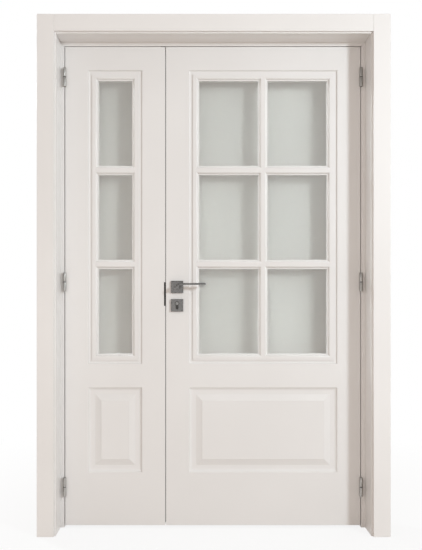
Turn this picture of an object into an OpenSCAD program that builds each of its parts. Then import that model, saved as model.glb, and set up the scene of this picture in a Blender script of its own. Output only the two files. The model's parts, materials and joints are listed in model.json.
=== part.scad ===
// Interior door with a wide and a narrow leaf, glazed above and panelled below, in a lined frame.
// X runs to the right, Y away from the viewer and Z up, in millimetres.
// The origin is at floor level, in the middle of the doorway and of the wall's thickness.

/* [Leaves] */
// Height of both leaves
leaf_h = 2030; // [1980:10:2130]
// Width of the active leaf, on the right
active_w = 825; // [725:25:925]
// Width of the inactive leaf, on the left
inactive_w = 425; // [375:25:525]
// Thickness of both leaves
leaf_t = 40; // [40:1:44]
// Gap beside, between and above the leaves
leaf_gap = 3; // [3:0.5:4]
// Gap under the leaves
floor_gap = 10; // [8:1:14]

/* [Frame] */
// Thickness of the wall that the frame lines
wall_t = 200; // [190:5:240]
// Depth of the reveal in front of the leaves
reveal_depth = 110; // [80:5:115]
// Width of the strip that the jamb shows beside the leaves
strip_w = 17; // [15:1:22]
// Thickness of the lining boards
lining_t = 13; // [12:1:18]
// How far the stop stands into the doorway
stop_w = 13; // [11:1:16]
// Width of the casing boards
casing_w = 70; // [60:5:100]
// Thickness of the casing boards
casing_t = 12; // [10:1:16]
// How far the casing keeps back from the lining's inner face
casing_setback = 6; // [4:1:8]

/* [Leaf layout] */
// Flat margin between a leaf's edge and its mouldings
stile_w = 98; // [92:2:110]
// Flat band above the glazing
top_rail = 100; // [90:5:130]
// Flat band between the glazing and the panel
lock_rail = 100; // [80:5:130]
// Height of the raised panel, with its moulding
panel_h = 360; // [300:10:420]
// Flat band below the panel
bottom_rail = 224; // [180:4:260]
// Rows of panes
pane_rows = 3; // [2:1:4]
// Columns of panes in the active leaf
active_columns = 2; // [1:1:3]

/* [Glazing mouldings] */
// Width of the sunk border between leaf face and bead
border_w = 16; // [14:1:20]
// Width of the cove that leads down into the border
border_cove_w = 6; // [5:0.5:8]
// Depth of the sunk border
border_depth = 7; // [5:0.5:8]
// Width of the bead's flat band
band_w = 14.5; // [12:0.5:18]
// Depth of the bead's band below the leaf face
band_depth = 1.5; // [0.5:0.25:2.5]
// Radius of the quarter round on beads and bars
ovolo_r = 7.5; // [6:0.5:8.5]
// Width of the fillet beside the glass
fillet_w = 5; // [4:0.5:6]
// Flat width on top of a glazing bar
bar_flat = 14.5; // [10:0.5:18]
// Thickness of the glass
glass_t = 5; // [4:0.5:8]

/* [Raised panel] */
// Width of the outer cove
cove_w = 15; // [12:1:18]
// Width of the flat valley
valley_w = 14; // [10:1:18]
// Width of the bevel up to the field
bevel_w = 26; // [20:1:32]
// Depth of the valley
valley_depth = 10; // [6:0.5:12]
// Step between a panel's bevel and its field
field_step = 1.5; // [0.5:0.5:3]

/* [Hinges] */
// Diameter of a hinge knuckle
knuckle_d = 14; // [13:0.5:14.5]
// Height of a hinge
hinge_h = 80; // [70:5:100]
// Diameter of a hinge pin
hinge_pin_d = 8; // [6:0.5:9]
// Height of the ring between the two hinge halves
hinge_ring_h = 3; // [2:0.5:4]
// Middle of the top hinge below the leaf's top
hinge_from_top = 130; // [110:5:200]
// Middle of the bottom hinge above the leaf's bottom
hinge_from_bottom = 164; // [130:2:220]

/* [Lock and handles] */
// Height of the spindle above the leaf's bottom
spindle_h = 1011; // [990:1:1040]
// Distance from the meeting edge to the spindle
backset = 47; // [47:1:50]
// Distance from the spindle down to the cylinder
lock_centres = 70; // [70:1:75]
// Side of the square rosettes
rosette_w = 52; // [50:1:56]
// Thickness of the rosettes
rosette_t = 10; // [9:0.5:12]
// Reach of the lever from the spindle to its tip
lever_l = 121; // [110:1:135]
// Height of the lever's arm above the spindle
lever_rise = 12.3; // [8:0.1:16]
// Thickness of the lever's bar, seen from the front
lever_t = 8; // [7:0.5:10]
// Depth of the lever's bar
lever_depth = 20; // [16:1:22]
// How far the lever stands out from the leaf
lever_reach = 58; // [52:1:60]
// Travel of the latch bolt
latch_throw = 11; // [8:1:12]
// Travel of the dead bolt
dead_throw = 14; // [10:1:16]

/* [Flush bolts] */
// Length of a flush bolt's case
bolt_case_l = 200; // [180:5:220]
// Diameter of a flush bolt's rod
bolt_rod_d = 8; // [7:0.5:9]
// Travel of a flush bolt
bolt_throw = 18; // [14:1:20]

/* [Fits] */
// Radial clearance of a pin that turns or slides in its bore
run_fit = 0.05; // [0.03:0.01:0.1]
// Clearance of a fixed piece in its seat
seat_fit = 0.02; // [0.01:0.01:0.05]
// Clearance round bolts and bars that pass through an opening
free_fit = 0.4; // [0.3:0.1:0.6]

/* [Hidden] */
$fn = 48;
// Segments of the shallow coves, which are short arcs of large circles
cove_fn = 96;
// Excess of a cutting shape past the face that it opens
over = 1;

// Doorway, measured to the rebate faces that the leaves close against
half_w = (inactive_w + active_w + 3 * leaf_gap) / 2;
head_z = floor_gap + leaf_h + leaf_gap;
wall_front = -wall_t / 2;
wall_rear = wall_t / 2;
leaf_y = wall_front + reveal_depth;
active_edge = half_w - leaf_gap - active_w;
inactive_edge = -half_w + leaf_gap + inactive_w;

// Jamb section, measured outward from the rebate face
jamb_t = strip_w + lining_t;
seal_room = 3;
stop_y = leaf_y + leaf_t + seal_room;
tongue_t = 5;
tongue_l = 8;
tongue_at = strip_w + (lining_t - tongue_t) / 2;
seal_base = 3;
seal_base_h = 4;
seal_bulb_r = 2.6;
seal_at = stop_w / 2;
mitre_reach = 2 * (jamb_t + stop_w);

// Fixing holes through the jambs, behind the closed leaves
fixing_d = 6.5;
fixing_head_d = 12;
fixing_z = [450, 1650];
fixing_y = leaf_y + leaf_t / 2;

// Casings, front and rear
casing_edge_r = 2;
front_casing_x = half_w + strip_w + casing_setback;
front_casing_z = head_z + strip_w + casing_setback;
rear_casing_x = half_w - stop_w + casing_setback;
rear_casing_z = head_z - stop_w + casing_setback;

// Leaf layout, measured in a leaf's own frame: hinge edge at x = 0, front face at y = 0
glazing_z = bottom_rail + panel_h + lock_rail;
glazing_h = leaf_h - top_rail - glazing_z;
fillet_depth = band_depth + ovolo_r;
glass_y = (leaf_t - glass_t) / 2;
bead_w = band_w + ovolo_r + fillet_w;
bar_w = bar_flat + 2 * (ovolo_r + fillet_w);
glass_room = 3;
mitre_gap = 0.1;
ease_in = 2.5;
ease_along = 12;

// Hinges
knuckle_r = knuckle_d / 2;
pin_r = hinge_pin_d / 2;
knuckle_clear = 1;
hinge_stand = knuckle_r + knuckle_clear;
knuckle_l = (hinge_h - hinge_ring_h) / 2;
hinge_plate_t = 2.5;
hinge_plate_w = 30;
hinge_cap = 5;
hinge_play = 0.2;
ring_wall = 2.4;
hinge_z = [
    hinge_from_bottom,
    (hinge_from_bottom + leaf_h - hinge_from_top) / 2,
    leaf_h - hinge_from_top
];

// Lock, measured from the active leaf's meeting edge and the spindle's height
lock_y = leaf_t / 2;
plate_t = 3;
plate_w = 20;
plate_up = 70;
plate_down = 150;
case_wall = 1.5;
case_depth = 70;
case_t = 14;
case_up = 35;
case_down = 105;
bolt_t = 10;
latch_h = 18;
latch_nose = 9;
latch_l = 20;
latch_tail_l = 64;
latch_tail_t = 3;
dead_h = 22;
dead_top = -30;
dead_l = 38;
dead_tail_l = 60;
dead_notch_h = 12;
dead_tooth = 6;
hub_r = 11;
hub_bearing_r = 8;
arm_w = 8;
arm_r = 20;
arm_t = 4;
spindle_w = 8;
spindle_out = 30;
bolt_inset = 0.3;
arm_gap = 1;
plate_screw_d = 4.2;
plate_screw_end = 10;

// Profile cylinder, measured from the middle of its plug
euro_r = 8.5;
euro_leg_w = 10;
euro_h = 33;
euro_proud = 1;
euro_end = rosette_t + euro_proud;
plug_r = 6.5;
keyway_w = 2.2;
keyway_h = 8.5;
keyway_l = 22;
cam_w = 10;
cam_play = 0.3;
cam_r = 15;
cam_arm_w = 7;

// Rosettes, levers and escutcheons
rosette_wall = 2;
rosette_edge = 2;
neck_r = 9;
base_w = 44;
base_t = 7;
start_x = -11;
start_z = -7;
elbow_x = 14;
escutcheon_drop = lock_centres + euro_h / 2 - euro_r;

// Strike plate on the inactive leaf
strike_up = 20;
strike_down = 80;
strike_t = 2;
strike_w = 30;
lip_w = 5;
lip_t = 1.2;
lip_out = 0.6;
strike_room = 3;

// Flush bolts, measured from the inactive leaf's meeting edge and a leaf end
bolt_plate_w = 18;
bolt_plate_t = 2.5;
bolt_body_w = 14;
bolt_axis = 10;
bolt_body_depth = 17;
bolt_body_end = 30;
bolt_tip = 1;
thumb_h = 16;
thumb_w = 7;
thumb_at = 140;
keep_w = 20;
keep_l = 36;
keep_t = 2;
keep_hole = bolt_rod_d + 4 * free_fit;
keep_hole_depth = 20;

lacquer = [0.93, 0.92, 0.90];
satin_glass = [0.80, 0.83, 0.80, 0.8];
chrome = [0.62, 0.62, 0.62];
dark_metal = [0.20, 0.20, 0.20];
steel = [0.70, 0.71, 0.72];
brass = [0.75, 0.66, 0.42];
rubber = [0.80, 0.79, 0.76];
nylon = [0.15, 0.15, 0.15];

// Extrudes a drawing of the X-Z plane along Y, from y0 to y1
module along_y(y0, y1) {
    translate([0, y1, 0]) rotate([90, 0, 0]) linear_extrude(y1 - y0) children();
}

// Extrudes a section along X, centred: its x becomes Z and its y stays Y
module along_x(l) {
    rotate([0, -90, 0]) linear_extrude(l, center = true) children();
}

// Mirrors a piece of the right-hand side to the left
module on_left() {
    mirror([1, 0, 0]) children();
}

// Places a leaf drawn from its hinge edge at x = 0
module on_inactive() {
    translate([-half_w + leaf_gap, leaf_y, floor_gap]) children();
}

module on_active() {
    translate([half_w - leaf_gap, leaf_y, floor_gap]) mirror([1, 0, 0]) children();
}

// Places what is drawn from the active leaf's meeting edge, at the spindle's height
module at_lock() {
    translate([active_edge, leaf_y, floor_gap + spindle_h]) children();
}

// Places what is drawn round the spindle, and round the cylinder's plug
module at_spindle() {
    at_lock() translate([backset, 0, 0]) children();
}

module at_plug() {
    at_spindle() translate([0, 0, -lock_centres]) children();
}

// Carries a piece of a leaf's front to its rear
module to_rear() {
    translate([0, leaf_t, 0]) mirror([0, 1, 0]) children();
}

module both_faces() {
    children();
    to_rear() children();
}

// Frame

// Everything to the right of the right-hand mitre and below it
module side_mitre() {
    along_y(wall_front - over, wall_rear + over)
        polygon([
            [half_w - mitre_reach, 0],
            [half_w + mitre_reach, 0],
            [half_w + mitre_reach, head_z + mitre_reach],
            [half_w - mitre_reach, head_z - mitre_reach]
        ]);
}

// Everything above both mitres
module head_mitre() {
    along_y(wall_front - over, wall_rear + over)
        polygon([
            [-half_w + mitre_reach, head_z - mitre_reach],
            [half_w - mitre_reach, head_z - mitre_reach],
            [half_w + mitre_reach, head_z + mitre_reach],
            [-half_w - mitre_reach, head_z + mitre_reach]
        ]);
}

// Runs a section up the right-hand side, or along the head, as far as the mitres
module side_run() {
    intersection() {
        translate([half_w, 0, 0]) linear_extrude(head_z + mitre_reach) children();
        side_mitre();
    }
}

module head_run() {
    intersection() {
        translate([0, 0, head_z]) along_x(2 * (half_w + mitre_reach)) children();
        head_mitre();
    }
}

// Jamb board, with a groove for the lining's tongue
module jamb_section() {
    difference() {
        translate([0, leaf_y]) square([jamb_t, wall_rear - leaf_y]);
        translate([tongue_at, leaf_y - over]) square([tongue_t, tongue_l + over]);
    }
}

// Stop strip planted on the jamb, with a groove for the seal
module stop_section() {
    difference() {
        translate([-stop_w, stop_y]) square([stop_w, wall_rear - stop_y]);
        translate([-seal_at - seal_base / 2, stop_y - over]) square([seal_base, seal_base_h + over]);
    }
}

module lining_section() {
    translate([strip_w, wall_front]) square([lining_t, reveal_depth]);
    translate([tongue_at, leaf_y - over]) square([tongue_t, tongue_l + over]);
}

module seal_section() {
    translate([-seal_at - seal_base / 2, stop_y]) square([seal_base, seal_base_h]);
    intersection() {
        translate([-seal_at, stop_y]) circle(seal_bulb_r);
        translate([-seal_at - seal_bulb_r, stop_y - seal_bulb_r]) square([2 * seal_bulb_r, seal_bulb_r]);
    }
}

// Countersunk hole through the right-hand jamb
module fixing_hole() {
    translate([half_w, fixing_y, 0]) rotate([0, 90, 0]) {
        translate([0, 0, -over]) cylinder(d = fixing_d, h = jamb_t + 2 * over);
        cylinder(d1 = fixing_head_d, d2 = fixing_d, h = (fixing_head_d - fixing_d) / 2);
    }
}

module jamb_side() {
    difference() {
        side_run() jamb_section();
        for (z = fixing_z) translate([0, 0, z]) fixing_hole();
        on_active() frame_hinge_seats();
    }
}

module jamb_left() { color(lacquer) on_left() jamb_side(); }

module jamb_right() { color(lacquer) jamb_side(); }

module jamb_head() {
    color(lacquer) difference() {
        head_run() jamb_section();
        at_keep() {
            keep_block(keep_w, keep_l, keep_t);
            keep_block(keep_hole, keep_hole, keep_hole_depth);
        }
    }
}

module stop_left() { color(lacquer) on_left() side_run() stop_section(); }

module stop_right() { color(lacquer) side_run() stop_section(); }

module stop_head() { color(lacquer) head_run() stop_section(); }

module lining_left() { color(lacquer) on_left() side_run() lining_section(); }

module lining_right() { color(lacquer) side_run() lining_section(); }

module lining_head() { color(lacquer) head_run() lining_section(); }

module rebate_seal() {
    color(rubber) {
        side_run() seal_section();
        on_left() side_run() seal_section();
        head_run() seal_section();
    }
}

// Casing board with rounded front edges, its front at y = 0
module casing_section() {
    translate([0, casing_edge_r]) square([casing_w, casing_t - casing_edge_r]);
    translate([casing_edge_r, 0]) square([casing_w - 2 * casing_edge_r, casing_t]);
    for (x = [casing_edge_r, casing_w - casing_edge_r])
        translate([x, casing_edge_r]) circle(casing_edge_r);
}

module casing_side(x, z) {
    translate([x, 0, 0]) linear_extrude(z + casing_w) casing_section();
}

module casing_head(x, z) {
    translate([0, 0, z]) along_x(2 * x) casing_section();
}

module on_wall_front() {
    translate([0, wall_front - casing_t, 0]) children();
}

module on_wall_rear() {
    translate([0, wall_rear + casing_t, 0]) mirror([0, 1, 0]) children();
}

module front_casing_left() {
    color(lacquer) on_left() on_wall_front() casing_side(front_casing_x, front_casing_z);
}

module front_casing_right() {
    color(lacquer) on_wall_front() casing_side(front_casing_x, front_casing_z);
}

module front_casing_head() {
    color(lacquer) on_wall_front() casing_head(front_casing_x, front_casing_z);
}

module rear_casing_left() {
    color(lacquer) on_left() on_wall_rear() casing_side(rear_casing_x, rear_casing_z);
}

module rear_casing_right() {
    color(lacquer) on_wall_rear() casing_side(rear_casing_x, rear_casing_z);
}

module rear_casing_head() {
    color(lacquer) on_wall_rear() casing_head(rear_casing_x, rear_casing_z);
}

// Hinges, in a leaf's own frame with the leaf's hinge edge at x = 0

module at_hinge_axis() {
    translate([-leaf_gap / 2, -hinge_stand, 0]) children();
}

// Plate in the jamb, with its knuckle below the ring
module hinge_half(bore_fit) {
    difference() {
        union() {
            at_hinge_axis() translate([0, 0, -hinge_h / 2]) cylinder(r = knuckle_r, h = knuckle_l);
            translate([-leaf_gap - hinge_plate_t, -hinge_stand, -hinge_h / 2])
                cube([hinge_plate_t, hinge_stand + over, knuckle_l]);
            translate([-leaf_gap - hinge_plate_t, 0, -hinge_h / 2])
                cube([hinge_plate_t, hinge_plate_w, hinge_h]);
        }
        at_hinge_axis() translate([0, 0, -hinge_h / 2 + hinge_cap])
            cylinder(r = pin_r + bore_fit, h = hinge_h);
    }
}

module hinge_frame_halves() {
    for (z = hinge_z) translate([0, 0, z]) hinge_half(seat_fit);
}

// The same plate in the leaf, turned over so that its knuckle is above the ring
module hinge_leaf_halves() {
    for (z = hinge_z)
        translate([-leaf_gap, 0, z]) mirror([0, 0, 1]) mirror([1, 0, 0]) hinge_half(run_fit);
}

module hinge_pins() {
    for (z = hinge_z)
        translate([0, 0, z - hinge_h / 2 + hinge_cap]) at_hinge_axis()
            cylinder(r = pin_r, h = hinge_h - 2 * hinge_cap - over);
}

module hinge_rings() {
    for (z = hinge_z)
        translate([0, 0, z - hinge_ring_h / 2]) at_hinge_axis() difference() {
            cylinder(r = pin_r + ring_wall, h = hinge_ring_h - hinge_play);
            translate([0, 0, -over]) cylinder(r = pin_r + seat_fit, h = hinge_ring_h + over);
        }
}

// Seats that let the hinge plates in flush
module frame_hinge_seats() {
    for (z = hinge_z)
        translate([-leaf_gap - hinge_plate_t, -over, z - hinge_h / 2])
            cube([hinge_plate_t + over, hinge_plate_w + over, hinge_h]);
}

module leaf_hinge_seats() {
    for (z = hinge_z)
        translate([-over, -over, z - hinge_h / 2])
            cube([hinge_plate_t + over, hinge_plate_w + over, hinge_h]);
}

module left_hinge_frame_halves() { color(steel) on_inactive() hinge_frame_halves(); }

module left_hinge_pins() { color(steel) on_inactive() hinge_pins(); }

module left_hinge_rings() { color(nylon) on_inactive() hinge_rings(); }

module left_hinge_leaf_halves() { color(steel) on_inactive() hinge_leaf_halves(); }

module right_hinge_frame_halves() { color(steel) on_active() hinge_frame_halves(); }

module right_hinge_pins() { color(steel) on_active() hinge_pins(); }

module right_hinge_rings() { color(nylon) on_active() hinge_rings(); }

module right_hinge_leaf_halves() { color(steel) on_active() hinge_leaf_halves(); }

// Leaf slabs

// Radius of an arc that leaves a floor level and climbs depth over a run of w
function cove_r(w, depth) = (w * w + depth * depth) / (2 * depth);

// Section of a sunk field: level floor, hollow sides that open towards the face at y = 0
module sunk_section(w, cove, depth) {
    r = cove_r(cove, depth);
    floor_half = w / 2 - cove;
    translate([-floor_half, -over]) square([2 * floor_half, depth + over]);
    for (side = [-1, 1])
        intersection() {
            translate([side * floor_half, depth - r]) circle(r, $fn = cove_fn);
            translate([side * w / 2 - w / 2, -over]) square([w, depth + over]);
        }
}

// Section of a raised field: flat bevels that climb from the floor, then a step up to the face
module raised_section(w, bevel, depth) {
    field_half = w / 2 - bevel;
    polygon([[-w / 2, depth], [-field_half, field_step], [-field_half, 0],
             [field_half, 0], [field_half, field_step], [w / 2, depth]]);
}

// Sections crossed at right angles, so that the four sides meet in mitres
module sunk_field(w, h, cove, depth) {
    intersection() {
        linear_extrude(h + 2 * depth, center = true) sunk_section(w, cove, depth);
        along_x(w + 2 * depth) sunk_section(h, cove, depth);
    }
}

module raised_field(w, h, bevel, depth) {
    intersection() {
        linear_extrude(h, center = true) raised_section(w, bevel, depth);
        along_x(w) raised_section(h, bevel, depth);
    }
}

// Groove that leaves a raised panel standing inside it
module panel_groove(w) {
    inset = 2 * (cove_w + valley_w);
    difference() {
        sunk_field(w, panel_h, cove_w, valley_depth);
        raised_field(w - inset, panel_h - inset, bevel_w, valley_depth);
    }
}

// Places what is drawn round the middle of a leaf's glazing
module at_glazing(leaf_w) {
    translate([leaf_w / 2, 0, glazing_z + glazing_h / 2]) children();
}

function glazing_w(leaf_w) = leaf_w - 2 * stile_w;
function opening_w(leaf_w) = glazing_w(leaf_w) - 2 * border_w;
opening_h = glazing_h - 2 * border_w;

// Slab with its rear meeting edge eased, so that each leaf swings clear of the other
module leaf_slab(leaf_w) {
    difference() {
        linear_extrude(leaf_h)
            polygon([
                [0, 0], [leaf_w, 0], [leaf_w, leaf_t - ease_along],
                [leaf_w - ease_in, leaf_t], [0, leaf_t]
            ]);
        at_glazing(leaf_w) {
            translate([-opening_w(leaf_w) / 2, -over, -opening_h / 2])
                cube([opening_w(leaf_w), leaf_t + 2 * over, opening_h]);
            both_faces() sunk_field(glazing_w(leaf_w), glazing_h, border_cove_w, border_depth);
        }
        translate([leaf_w / 2, 0, bottom_rail + panel_h / 2])
            both_faces() panel_groove(glazing_w(leaf_w));
        leaf_hinge_seats();
    }
}

module inactive_slab() {
    color(lacquer) difference() {
        on_inactive() leaf_slab(inactive_w);
        strike_pockets();
        upper_bolt() bolt_pocket();
        lower_bolt() bolt_pocket();
    }
}

module active_slab() {
    color(lacquer) difference() {
        on_active() leaf_slab(active_w);
        lock_pockets();
    }
}

// Glazing

module glass_sheet(leaf_w) {
    w = opening_w(leaf_w) - 2 * glass_room;
    h = opening_h - 2 * glass_room;
    at_glazing(leaf_w) translate([-w / 2, glass_y, -h / 2]) cube([w, glass_t, h]);
}

// Bead: x runs from the slab towards the glass, y down from the leaf face
module bead_section() {
    translate([0, fillet_depth]) square([bead_w, glass_y - fillet_depth]);
    translate([0, band_depth]) square([band_w, ovolo_r]);
    intersection() {
        translate([band_w, fillet_depth]) circle(ovolo_r);
        translate([band_w, band_depth]) square([ovolo_r, ovolo_r]);
    }
}

// Bar: the same moulding on both sides of a flat
module bar_section() {
    translate([-bar_w / 2, fillet_depth]) square([bar_w, glass_y - fillet_depth]);
    translate([-bar_flat / 2, band_depth]) square([bar_flat, ovolo_r]);
    intersection() {
        for (side = [-1, 1]) translate([side * bar_flat / 2, fillet_depth]) circle(ovolo_r);
        translate([-bar_w / 2, band_depth]) square([bar_w, ovolo_r]);
    }
}

// Sizes of the clear panes, and the middles of the bars between them
function columns(leaf_w) = leaf_w == active_w ? active_columns : 1;
function pane_w(leaf_w) =
    (opening_w(leaf_w) - 2 * bead_w - (columns(leaf_w) - 1) * bar_w) / columns(leaf_w);
pane_h = (opening_h - 2 * bead_w - (pane_rows - 1) * bar_w) / pane_rows;
function pane_x(leaf_w, i) = (i - (columns(leaf_w) - 1) / 2) * (pane_w(leaf_w) + bar_w);
bar_z = [for (i = [1:pane_rows - 1]) (i - pane_rows / 2) * (pane_h + bar_w)];
function bar_x(leaf_w) =
    columns(leaf_w) < 2 ? [] :
    [for (i = [1:columns(leaf_w) - 1]) (i - columns(leaf_w) / 2) * (pane_w(leaf_w) + bar_w)];

// Outline of a bar of clear length l along X: mitred mouldings at its ends, butted flat
module bar_outline(l, grow = 0) {
    half = bar_w / 2 + grow;
    flat = bar_flat / 2 + grow;
    reach = l / 2 + ovolo_r + fillet_w + grow;
    polygon([
        [-reach, flat], [-reach, -flat], [-l / 2, -half], [l / 2, -half],
        [reach, -flat], [reach, flat], [l / 2, half], [-l / 2, half]
    ]);
}

module bar(l) {
    intersection() {
        along_x(l + bar_w) bar_section();
        along_y(0, leaf_t / 2) bar_outline(l);
    }
}

// Places each cross bar and each upright bar of a leaf
module each_cross_bar(leaf_w) {
    for (z = bar_z)
        for (i = [0:columns(leaf_w) - 1])
            translate([pane_x(leaf_w, i), 0, z]) children();
}

module each_upright(leaf_w) {
    for (x = bar_x(leaf_w)) translate([x, 0, 0]) rotate([0, 90, 0]) children();
}

upright_l = opening_h - 2 * bead_w;

// Notch that takes a bar's end, a hairline wider than the bar
module bar_cut(l) {
    along_y(-over, leaf_t / 2 + over) bar_outline(l, mitre_gap);
}

module glazing_bars(leaf_w) {
    at_glazing(leaf_w) {
        each_cross_bar(leaf_w) bar(pane_w(leaf_w));
        difference() {
            each_upright(leaf_w) bar(upright_l);
            each_cross_bar(leaf_w) bar_cut(pane_w(leaf_w));
        }
    }
}

// One bead along the bottom of an opening, mitred at both ends
module bead(l, out) {
    half = l / 2 - mitre_gap;
    intersection() {
        translate([0, 0, -out]) along_x(l) bead_section();
        along_y(0, leaf_t / 2)
            polygon([
                [-half, -out], [half, -out],
                [half - bead_w, bead_w - out], [bead_w - half, bead_w - out]
            ]);
    }
}

module glazing_beads(leaf_w) {
    w = opening_w(leaf_w);
    at_glazing(leaf_w)
        for (side = [0:3])
            difference() {
                rotate([0, 90 * side, 0])
                    if (side % 2 == 0) bead(w, opening_h / 2);
                    else bead(opening_h, w / 2);
                each_cross_bar(leaf_w) bar_cut(pane_w(leaf_w));
                each_upright(leaf_w) bar_cut(upright_l);
            }
}

module inactive_glass() { color(satin_glass) on_inactive() glass_sheet(inactive_w); }

module inactive_front_beads() { color(lacquer) on_inactive() glazing_beads(inactive_w); }

module inactive_rear_beads() { color(lacquer) on_inactive() to_rear() glazing_beads(inactive_w); }

module inactive_front_bars() { color(lacquer) on_inactive() glazing_bars(inactive_w); }

module inactive_rear_bars() { color(lacquer) on_inactive() to_rear() glazing_bars(inactive_w); }

module active_glass() { color(satin_glass) on_active() glass_sheet(active_w); }

module active_front_beads() { color(lacquer) on_active() glazing_beads(active_w); }

module active_rear_beads() { color(lacquer) on_active() to_rear() glazing_beads(active_w); }

module active_front_bars() { color(lacquer) on_active() glazing_bars(active_w); }

module active_rear_bars() { color(lacquer) on_active() to_rear() glazing_bars(active_w); }

// Lock, in the active leaf

module euro_outline(grow) {
    leg_z = euro_h - euro_r - euro_leg_w / 2;
    circle(euro_r + grow);
    translate([-euro_leg_w / 2 - grow, -leg_z]) square([euro_leg_w + 2 * grow, leg_z]);
    translate([0, -leg_z]) circle(euro_leg_w / 2 + grow);
}

// Room for the lock, the spindle and the cylinder in the active leaf
module lock_pockets() {
    at_lock() {
        translate([-over, lock_y - plate_w / 2, -plate_down])
            cube([plate_t + over, plate_w, plate_up + plate_down]);
        translate([0, lock_y - case_t / 2 - free_fit, -case_down - free_fit])
            cube([
                plate_t + case_depth + free_fit,
                case_t + 2 * free_fit,
                case_up + case_down + 2 * free_fit
            ]);
    }
    at_spindle() along_y(-over, leaf_t + over) circle(neck_r);
    at_plug() along_y(-over, leaf_t + over) euro_outline(free_fit);
}

module lock_case() {
    color(steel) difference() {
        at_lock() translate([plate_t, lock_y - case_t / 2, -case_down]) difference() {
            cube([case_depth, case_t, case_up + case_down]);
            translate([-over, case_wall, case_wall])
                cube([
                    case_depth + over - case_wall,
                    case_t - 2 * case_wall,
                    case_up + case_down - 2 * case_wall
                ]);
        }
        at_spindle() along_y(0, leaf_t) circle(hub_bearing_r + run_fit);
        at_plug() along_y(0, leaf_t) euro_outline(seat_fit);
    }
}

// Section of the latch and of the dead bolt, as the face plate and the strike let them through
module bolt_openings(depth_latch, depth_dead) {
    translate([0, lock_y - bolt_t / 2 - free_fit, -latch_h / 2 - free_fit])
        cube([depth_latch, bolt_t + 2 * free_fit, latch_h + 2 * free_fit]);
    translate([0, lock_y - bolt_t / 2 - free_fit, dead_top - dead_h - free_fit])
        cube([depth_dead, bolt_t + 2 * free_fit, dead_h + 2 * free_fit]);
}

module lock_face_plate() {
    screw_z = [plate_up - plate_screw_end, plate_screw_end - plate_down];
    color(steel) at_lock() difference() {
        translate([0, lock_y - plate_w / 2, -plate_down])
            cube([plate_t, plate_w, plate_up + plate_down]);
        translate([-over, 0, 0]) bolt_openings(plate_t + 2 * over, plate_t + 2 * over);
        for (z = screw_z)
            translate([0, lock_y, z]) rotate([0, 90, 0]) {
                translate([0, 0, -over]) cylinder(d = plate_screw_d, h = plate_t + 2 * over);
                cylinder(d1 = 2 * plate_screw_d, d2 = plate_screw_d, h = plate_screw_d / 2);
            }
        translate([-over, lock_y, -lock_centres - cam_r - euro_leg_w / 2]) rotate([0, 90, 0])
            cylinder(d = plate_screw_d, h = plate_t + 2 * over);
    }
}

// Latch with a slanted nose, and a tail that reaches past the follower's arm
module latch_bolt() {
    tail_z = arm_r - arm_w;
    color(brass) at_lock() translate([bolt_inset, lock_y, 0]) {
        translate([0, 0, -latch_h / 2]) linear_extrude(latch_h)
            polygon([
                [0, -bolt_t / 2], [latch_nose, bolt_t / 2],
                [latch_l, bolt_t / 2], [latch_l, -bolt_t / 2]
            ]);
        translate([latch_l - arm_t, arm_gap, -latch_h / 2])
            cube([arm_t, latch_tail_t, latch_h / 2 + arm_r]);
        translate([latch_l - arm_t, arm_gap, tail_z + arm_t])
            cube([latch_tail_l - latch_l + arm_t, latch_tail_t, arm_t]);
        translate([latch_tail_l - arm_t, arm_gap, tail_z]) cube([arm_t, latch_tail_t, arm_w]);
    }
}

// Dead bolt with a notch above the cylinder's cam
module dead_bolt() {
    color(brass) at_lock() translate([bolt_inset, lock_y - bolt_t / 2, dead_top - dead_h]) {
        cube([dead_l, bolt_t, dead_h]);
        translate([0, 0, dead_notch_h]) cube([dead_tail_l, bolt_t, dead_h - dead_notch_h]);
        translate([dead_tail_l - dead_tooth, 0, 0]) cube([dead_tooth, bolt_t, dead_h]);
    }
}

module follower() {
    color(steel) at_spindle() difference() {
        union() {
            along_y(lock_y - bolt_t / 2, lock_y + bolt_t / 2) circle(hub_r);
            along_y(lock_y - case_t / 2, lock_y + case_t / 2) circle(hub_bearing_r);
            translate([-arm_w / 2, lock_y - bolt_t / 2, 0]) cube([arm_w, arm_t, arm_r]);
        }
        along_y(0, leaf_t) square(spindle_w + 2 * seat_fit, center = true);
    }
}

module spindle() {
    color(steel) at_spindle()
        along_y(-spindle_out, leaf_t + spindle_out) square(spindle_w, center = true);
}

// Handles

// Lever's outline: a short slanted start, then a level bar with a round tip
module lever_outline() {
    half = lever_t / 2;
    slant = atan2(lever_rise - start_z, elbow_x - start_x);
    start = [start_x, start_z];
    side = half * [-sin(slant), cos(slant)];
    mitre = half * tan(slant / 2);
    tip_x = lever_l - half;
    polygon([
        start + side, [elbow_x - mitre, lever_rise + half], [tip_x, lever_rise + half],
        [tip_x, lever_rise - half], [elbow_x + mitre, lever_rise - half], start - side
    ]);
    translate([tip_x, lever_rise]) circle(half);
}

module lever() {
    difference() {
        union() {
            along_y(-lever_reach, lever_depth - lever_reach) lever_outline();
            along_y(lever_depth / 2 - lever_reach, -free_fit) circle(neck_r);
        }
        along_y(-spindle_out - free_fit, over) square(spindle_w + 2 * seat_fit, center = true);
    }
}

// Square cover with chamfered front edges, hollow behind
module square_cover() {
    inside = rosette_w - 2 * rosette_wall;
    difference() {
        intersection() {
            linear_extrude(rosette_w, center = true) cover_section();
            along_x(rosette_w) cover_section();
        }
        translate([-inside / 2, rosette_wall - rosette_t, -inside / 2])
            cube([inside, rosette_t - rosette_wall + over, inside]);
    }
}

module cover_section() {
    half = rosette_w / 2;
    polygon([
        [-half, 0], [-half, rosette_edge - rosette_t], [rosette_edge - half, -rosette_t],
        [half - rosette_edge, -rosette_t], [half, rosette_edge - rosette_t], [half, 0]
    ]);
}

module rosette() {
    difference() {
        square_cover();
        along_y(-rosette_t - over, over) circle(neck_r + free_fit);
    }
}

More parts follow.
